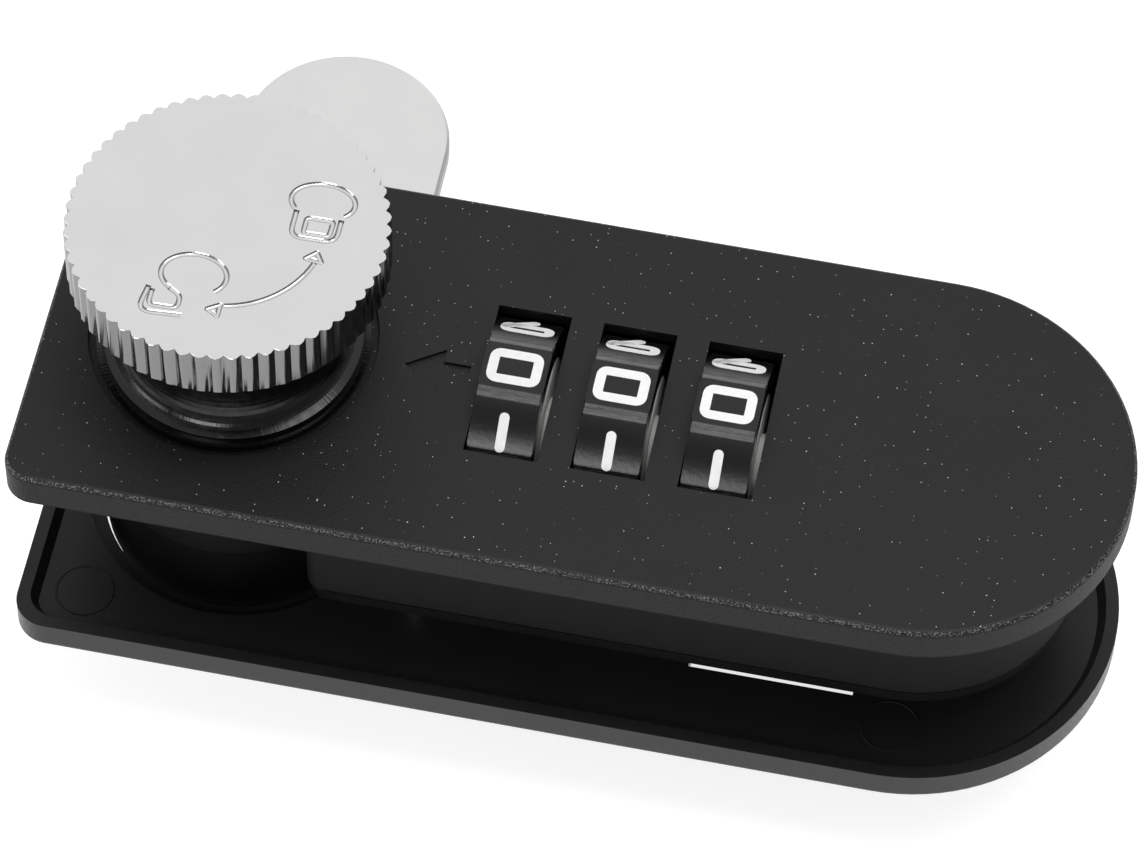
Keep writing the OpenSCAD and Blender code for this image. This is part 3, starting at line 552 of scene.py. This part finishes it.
# Cam: 2.2 mm steel strip, blanked and tumbled so that its edges are rolled, then nickel plated. It is
# pale and satin bright.
# The cam's sides and rolled edges take a darker grey, painted shade.
nickel = plated_metal("nickel_plated_steel", "#e8e8e6", 0.2, 0.1, 0.01, "#606062")
finish_node("cam", nickel)


# Spindle, screws, washer, axle, clips and springs: zinc plated steel, with the bluish grey of clear
# chromate. The code spring gets a mesh of its own.
zinc = plated_metal("zinc_plated_steel", "#9fa2a6", 0.3, 0.12, 0.012)
for name in ("knob_screw", "spindle", "cam_washer", "cam_screw", "dial_axle", "axle_clips", "code_spring",
             "detent_spring", "cover_screws", "tray_screws"):
    finish_node(name, zinc)
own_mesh(nodes["code_spring"])


# Locking slide: stamped brass, left plain inside the housing.
brass = plated_metal("stamped_brass", "#b59a5c", 0.28, 0.1, 0.012)
finish_node("locking_slide", brass)


# Code wheels: white acetal, natural and smooth. Their flanges are domed and show as a white lens beside
# each dial.
dial_z = -2.84
flange_radius, dome_height = 6.2, 1.55
acetal_cloud = 1.5
acetal, tree, output = empty_material("white_acetal")
place = add_node(tree, "ShaderNodeTexCoord").outputs["Object"]
parts = add_node(tree, "ShaderNodeSeparateXYZ", Vector=place)
above = add_node(tree, "ShaderNodeMath", {"operation": "SUBTRACT"}, _0=parts.outputs["Z"], _1=dial_z * MM)
disc_point = add_node(tree, "ShaderNodeCombineXYZ", X=0.0, Y=parts.outputs["Y"], Z=above.outputs[0])
reach = add_node(tree, "ShaderNodeVectorMath", {"operation": "LENGTH"}, _0=disc_point.outputs[0])
share = add_node(tree, "ShaderNodeMath", {"operation": "DIVIDE"}, _0=reach.outputs["Value"],
                 _1=flange_radius * MM)
fall = add_node(tree, "ShaderNodeMath", {"operation": "POWER"}, _0=share.outputs[0], _1=4.0)
domed = add_node(tree, "ShaderNodeBump", {"invert": True}, Height=fall.outputs[0], Strength=1.0,
                 Distance=dome_height * MM)
cloud = add_node(tree, "ShaderNodeTexNoise", Vector=place, Scale=1 / (acetal_cloud * MM), Detail=3.0)
tone = add_node(tree, "ShaderNodeMix", {"data_type": "RGBA"}, _0=cloud.outputs["Fac"],
                _6=linear("#f2f2f0"), _7=linear("#dcdcd8"))
waxy = add_node(tree, "ShaderNodeBsdfPrincipled", Base_Color=tone.outputs[2], Roughness=0.35, IOR=1.48,
                Normal=domed.outputs[0], Specular_IOR_Level=0.15)
tree.links.new(waxy.outputs[0], output.inputs["Surface"])
for count in (1, 2, 3):
    finish_node(f"code_wheel_{count}", acetal)


# Dials: black ABS drums with ten flats. The mould leaves the flats satin, and the narrow lands between
# them are brushed where the ink was wiped off.
dial_radius = 8.4
rim_start, rim_end = 8.2, 8.35
land_width = 0.86
dial_flats = 10
flat_crown = 0.035
brush_pitch, brush_stretch = 0.12, 0.12
wave_pitch, wave_depth = 0.4, 0.02
dial_centres = [(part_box(f"dial_{k}")[0][0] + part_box(f"dial_{k}")[1][0]) / 2 / MM for k in (1, 2, 3)]
dial_abs, tree, output = empty_material("satin_dial_abs")
place = add_node(tree, "ShaderNodeTexCoord").outputs["Object"]
centred = add_node(tree, "ShaderNodeMapping", Vector=place, Location=(0, 0, -dial_z * MM))
parts = add_node(tree, "ShaderNodeSeparateXYZ", Vector=centred.outputs[0])
turn = add_node(tree, "ShaderNodeMath", {"operation": "ARCTAN2"}, _0=parts.outputs["Y"],
                _1=parts.outputs["Z"])
step = 2 * np.pi / dial_flats
share = add_node(tree, "ShaderNodeMath", {"operation": "DIVIDE"}, _0=turn.outputs[0], _1=step)
wrapped = add_node(tree, "ShaderNodeMath", {"operation": "WRAP"}, _0=share.outputs[0], _1=0.5, _2=-0.5)
off = add_node(tree, "ShaderNodeMath", {"operation": "ABSOLUTE"}, _0=wrapped.outputs[0])
land_share = 0.5 - land_width / 2 / (dial_radius * step)
land = add_node(tree, "ShaderNodeMapRange", Value=off.outputs[0], From_Min=land_share - 0.012,
                From_Max=land_share + 0.004)
across = add_node(tree, "ShaderNodeMath", {"operation": "POWER"}, _0=parts.outputs["Y"], _1=2.0)
along = add_node(tree, "ShaderNodeMath", {"operation": "POWER"}, _0=parts.outputs["Z"], _1=2.0)
square = add_node(tree, "ShaderNodeMath", {"operation": "ADD"}, _0=across.outputs[0], _1=along.outputs[0])
radius = add_node(tree, "ShaderNodeMath", {"operation": "SQRT"}, _0=square.outputs[0])
rim = add_node(tree, "ShaderNodeMapRange", Value=radius.outputs[0], From_Min=rim_start * MM,
               From_Max=rim_end * MM)
bar = add_node(tree, "ShaderNodeMath", {"operation": "MULTIPLY"}, _0=land.outputs[0], _1=rim.outputs[0])
stretch = add_node(tree, "ShaderNodeMapping", Vector=place, Scale=(brush_stretch, 1.0, 1.0))
brushed = add_node(tree, "ShaderNodeTexNoise", Vector=stretch.outputs[0], Scale=1 / (brush_pitch * MM),
                   Detail=3.0)
grey = add_node(tree, "ShaderNodeMapRange", Value=brushed.outputs["Fac"], From_Min=0.35, From_Max=0.65,
                To_Min=0.005, To_Max=0.05)
worn = add_node(tree, "ShaderNodeCombineColor", Red=grey.outputs[0], Green=grey.outputs[0],
                Blue=grey.outputs[0])
base = add_node(tree, "ShaderNodeMix", {"data_type": "RGBA"}, _0=bar.outputs[0], _6=linear("#101011"),
                _7=worn.outputs[0])
dull = add_node(tree, "ShaderNodeMapRange", Value=bar.outputs[0], To_Min=0.22, To_Max=0.26)
wave = add_node(tree, "ShaderNodeTexNoise", Vector=place, Scale=1 / (wave_pitch * MM), Detail=3.0)
relief = add_node(tree, "ShaderNodeBump", Height=wave.outputs["Fac"], Strength=0.4,
                  Distance=wave_depth * MM)
offset = add_node(tree, "ShaderNodeMath", {"operation": "MULTIPLY"}, _0=wrapped.outputs[0],
                  _1=step * dial_radius)
bulge = add_node(tree, "ShaderNodeMath", {"operation": "POWER"}, _0=offset.outputs[0], _1=2.0)
crowned = add_node(tree, "ShaderNodeBump", {"invert": True}, Height=bulge.outputs[0], Strength=1.0,
                   Distance=flat_crown * MM, Normal=relief.outputs[0])
shine = add_node(tree, "ShaderNodeMapRange", Value=bar.outputs[0], To_Min=0.4, To_Max=1.0)
plastic = add_node(tree, "ShaderNodeBsdfPrincipled", Base_Color=base.outputs[2],
                   Roughness=dull.outputs[0], Normal=crowned.outputs[0], IOR=1.5,
                   Specular_IOR_Level=shine.outputs[0])
tree.links.new(plastic.outputs[0], output.inputs["Surface"])
for count in (1, 2, 3):
    finish_node(f"dial_{count}", dial_abs)


# Figures: white ink filled into the flats, squared figures with round corners. Their tops point to the
# front, so they are read from the side to which the locked cam points.
w, h = 1.86, 1.28
figure_round = 0.55
stroke_half = 0.42
ink_height, ink_sink = 0.03, 0.05
end_points = 7
ink_mottle = 0.6
figure_paths = {
    0: [([(-w, -h), (w, -h), (w, h), (-w, h)], True)],
    1: [([(0, -h + 0.5), (0, h + 0.45)], False)],
    2: [([(-w, h), (w, h), (w, 0), (-w, 0), (-w, -h), (w, -h)], False)],
    3: [([(-w, h), (w, h), (w, -h), (-w, -h)], False), ([(-w * 0.6, 0), (w, 0)], False)],
    4: [([(-w, h), (-w, -h * 0.2), (w, -h * 0.2)], False), ([(w * 0.4, h * 0.5), (w * 0.4, -h)], False)],
    5: [([(w, h), (-w, h), (-w, 0), (w, 0), (w, -h), (-w, -h)], False)],
    6: [([(w * 0.3, h), (-w, 0), (-w, -h), (w, -h), (w, 0), (-w, 0)], False)],
    7: [([(-w, h), (w, h), (-w * 0.2, -h)], False)],
    8: [([(-w, 0), (-w, h), (w, h), (w, -h), (-w, -h)], True), ([(-w, 0), (w, 0)], False)],
    9: [([(-w, 0.3 * h), (w, 0.3 * h), (w, -0.75 * h), (-w, -0.75 * h)], True),
        ([(w, -0.35 * h), (-w * 0.22, -h * 1.6)], False)],
}


def stroke(path, closed, half, thick):
    """A flat ink stroke carried along a path, half wide to each side and thick high. At an end, at the
    angle t, it lies half cos t beyond the path and is half sin t wide."""
    path = np.asarray(path, float)
    if closed:
        along = np.roll(path, -1, 0) - np.roll(path, 1, 0)
    else:
        along = np.gradient(path, axis=0)
    along /= np.linalg.norm(along, axis=1)[:, None]
    side = np.stack([-along[:, 1], along[:, 0]], -1)
    if not closed:
        t = np.radians(np.linspace(10, 90, end_points))[:, None]
        caps = []
        for end, way in ((0, -1), (-1, 1)):
            centre = path[end] + along[end] * way * half * np.cos(t)
            caps.append((centre, np.sin(t)))
        spine = np.concatenate([caps[0][0], path[1:-1], caps[1][0][::-1]])
        swell = np.concatenate([caps[0][1], np.ones((len(path) - 2, 1)), caps[1][1][::-1]])
        side = np.concatenate([np.repeat(side[:1], end_points, 0), side[1:-1],
                               np.repeat(side[-1:], end_points, 0)])
    else:
        spine, swell = path, np.ones((len(path), 1))
    left, right = spine + side * swell * half, spine - side * swell * half
    n = len(spine)
    ring = np.stack([left, right, right, left], 1)
    height = np.array([thick, thick, -ink_sink, -ink_sink])
    points = np.concatenate([ring, np.broadcast_to(height, (n, 4))[..., None]], -1).reshape(-1, 3)
    spans = n if closed else n - 1
    i, j = np.meshgrid(np.arange(spans), np.arange(4), indexing="ij")
    i2, j2 = (i + 1) % n, (j + 1) % 4
    faces = np.stack([i * 4 + j, i2 * 4 + j, i2 * 4 + j2, i * 4 + j2], -1).reshape(-1, 4).tolist()
    if not closed:
        faces += [[0, 3, 2, 1], [n * 4 - 4, n * 4 - 3, n * 4 - 2, n * 4 - 1]]
    return points, faces


white_ink, tree, output = empty_material("white_filled_ink")
place = add_node(tree, "ShaderNodeTexCoord").outputs["Object"]
mottle = add_node(tree, "ShaderNodeTexNoise", Vector=place, Scale=1 / (ink_mottle * MM), Detail=3.0)
tone = add_node(tree, "ShaderNodeMix", {"data_type": "RGBA"}, _0=mottle.outputs["Fac"],
                _6=linear("#f6f6f6"), _7=linear("#e2e2e2"))
ink = add_node(tree, "ShaderNodeBsdfPrincipled", Base_Color=tone.outputs[2], Roughness=0.45)
tree.links.new(ink.outputs[0], output.inputs["Surface"])
for count, centre_x in enumerate(dial_centres, 1):
    all_points, all_faces, base_index = [], [], 0
    for figure, strokes in figure_paths.items():
        angle = -step * figure
        for path, closed in strokes:
            spine = rounded_path(path, figure_round, closed)
            points, faces = stroke(spine, closed, stroke_half, ink_height)
            x, y = -points[:, 0], -points[:, 1]
            up = dial_radius + points[:, 2]
            placed = np.stack([centre_x + x, y * np.cos(angle) + up * np.sin(angle),
                               dial_z - y * np.sin(angle) + up * np.cos(angle)], -1)
            all_points.append(placed * MM)
            all_faces += [[k + base_index for k in f] for f in faces]
            base_index += len(points)
    figures = plain_object(f"figures_{count}", np.concatenate(all_points), all_faces, white_ink)
    tidy_mesh(figures.data)
    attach(figures, f"dial_{count}")
